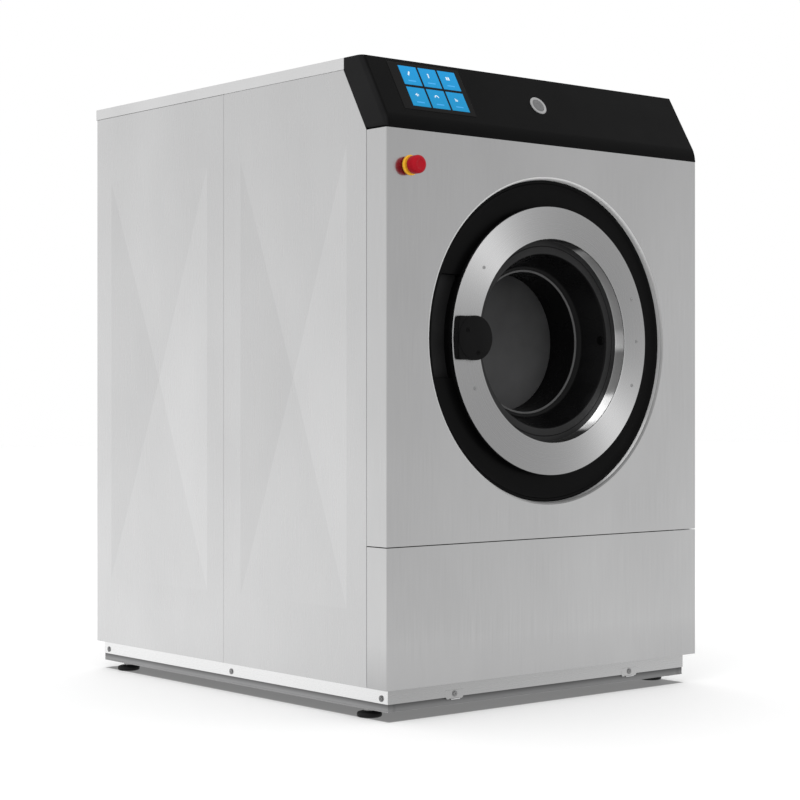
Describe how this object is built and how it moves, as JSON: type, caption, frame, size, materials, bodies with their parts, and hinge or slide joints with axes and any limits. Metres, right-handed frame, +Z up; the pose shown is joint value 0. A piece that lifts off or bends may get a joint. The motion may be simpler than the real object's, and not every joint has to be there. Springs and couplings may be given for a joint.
{
  "type": "washing machine",
  "caption": "Free-standing professional front-loading washer-extractor with a sloped touch console, emergency stop, round steel-ringed door, drum on a belt drive and a base on levelling feet.",
  "frame": {"origin": "on the floor under the middle of the whole machine", "axes": "+X to the right seen from the front, +Y to the rear, +Z up; the front faces -Y"},
  "size_m": [0.89, 1.132, 1.302],
  "materials": {
    "cabinet_steel": "brushed, faint vertical grain",
    "front_steel": "brushed, half gloss",
    "base_steel": "bright",
    "base_paint": "satin grey",
    "frame_paint": "satin grey",
    "console_black": "satin",
    "screen_black": "glossy",
    "button_grey": "satin",
    "bezel_grey": "satin",
    "stop_yellow": "satin",
    "stop_red": "half gloss",
    "surround_black": "satin",
    "door_steel": "brushed round the ring",
    "handle_black": "satin",
    "bowl_dark": "dark, glossy",
    "rubber_black": "dull",
    "inner_steel": "satin",
    "machined_steel": "ground",
    "cast_iron": "as cast",
    "cast_aluminium": "as cast",
    "motor_paint": "satin",
    "pipe_grey": "dull",
    "inner_plastic": "dull",
    "valve_white": "dull"
  },
  "bodies": {
    "cabinet": {"side_panel_right_front": "cabinet_steel", "side_panel_right_rear": "cabinet_steel", "side_panel_left_front": "cabinet_steel", "side_panel_left_rear": "cabinet_steel", "front_panel": "front_steel", "service_panel": "front_steel", "rear_panel": "cabinet_steel", "rear_connection_panel": "cabinet_steel", "rear_drain_panel": "cabinet_steel", "rear_access_cover": "cabinet_steel", "top_cover": "cabinet_steel", "base_frame": "base_paint", "base_skirt": "base_steel", "service_panel_clips": "base_steel", "levelling_feet": "rubber_black", "inner_frame": "frame_paint", "console_housing": "console_black", "touch_screen": "screen_black", "start_button_bezel": "bezel_grey", "emergency_stop_collar": "stop_yellow", "door_surround": "surround_black", "door_stiffener": "inner_steel", "hinge_bracket": "machined_steel", "hinge_pin": "machined_steel", "door_lock_body": "inner_plastic", "door_gasket": "rubber_black", "tub_shell": "inner_steel", "tub_back": "inner_steel", "heating_elements": "machined_steel", "bearing_housing": "cast_iron", "shaft_bearings": "machined_steel", "tub_cradle": "base_paint", "suspension_springs": "rubber_black", "shock_absorbers": "inner_plastic", "counterweights": "cast_iron", "drive_belt": "rubber_black", "motor_body": "motor_paint", "drain_valve": "pipe_grey", "drain_pipe": "pipe_grey", "inlet_valves": "valve_white", "fill_hose": "rubber_black", "control_box": "inner_plastic", "cable_gland": "inner_plastic"},
    "door": {"door_ring": "door_steel", "door_frame": "handle_black", "door_bowl": "bowl_dark", "hinge_arm": "machined_steel", "door_handle": "handle_black", "latch_hook": "machined_steel"},
    "start_button": {"start_button": "button_grey"},
    "emergency_stop": {"emergency_stop_head": "stop_red"},
    "lock_bolt": {"lock_bolt": "machined_steel"},
    "drum": {"drum_shell": "inner_steel", "drum_lifters": "inner_steel", "drum_spider": "cast_aluminium", "drum_pulley": "cast_aluminium"},
    "motor_rotor": {"motor_pulley": "machined_steel"}
  },
  "joints": [
    {"name": "door_hinge", "type": "hinge", "parent": "cabinet", "child": "door", "pos_m": [0.284, -0.526, 0.7475], "axis": [0, 0, 1], "range_deg": [0, 120]},
    {"name": "start_button_press", "type": "slide", "parent": "cabinet", "child": "start_button", "axis": [0, 0.866, -0.5001], "range_m": [0, 0.0015], "stiffness_N_per_m": 400},
    {"name": "emergency_stop_press", "type": "slide", "parent": "cabinet", "child": "emergency_stop", "axis": [0, 1, 0], "range_m": [0, 0.004]},
    {"name": "lock_bolt_slide", "type": "slide", "parent": "cabinet", "child": "lock_bolt", "axis": [0, 0, 1], "range_m": [0, 0.014]},
    {"name": "drum_spin", "type": "hinge", "parent": "cabinet", "child": "drum", "pos_m": [0, 0.166, 0.7475], "axis": [0, 1, 0], "continuous": true},
    {"name": "motor_spin", "type": "hinge", "parent": "cabinet", "child": "motor_rotor", "pos_m": [0, 0.397, 0.2795], "axis": [0, 1, 0], "continuous": true}
  ],
  "couplings": [
    {"joint": "motor_spin", "follows": "drum_spin", "ratio": 3.8889}
  ]
}
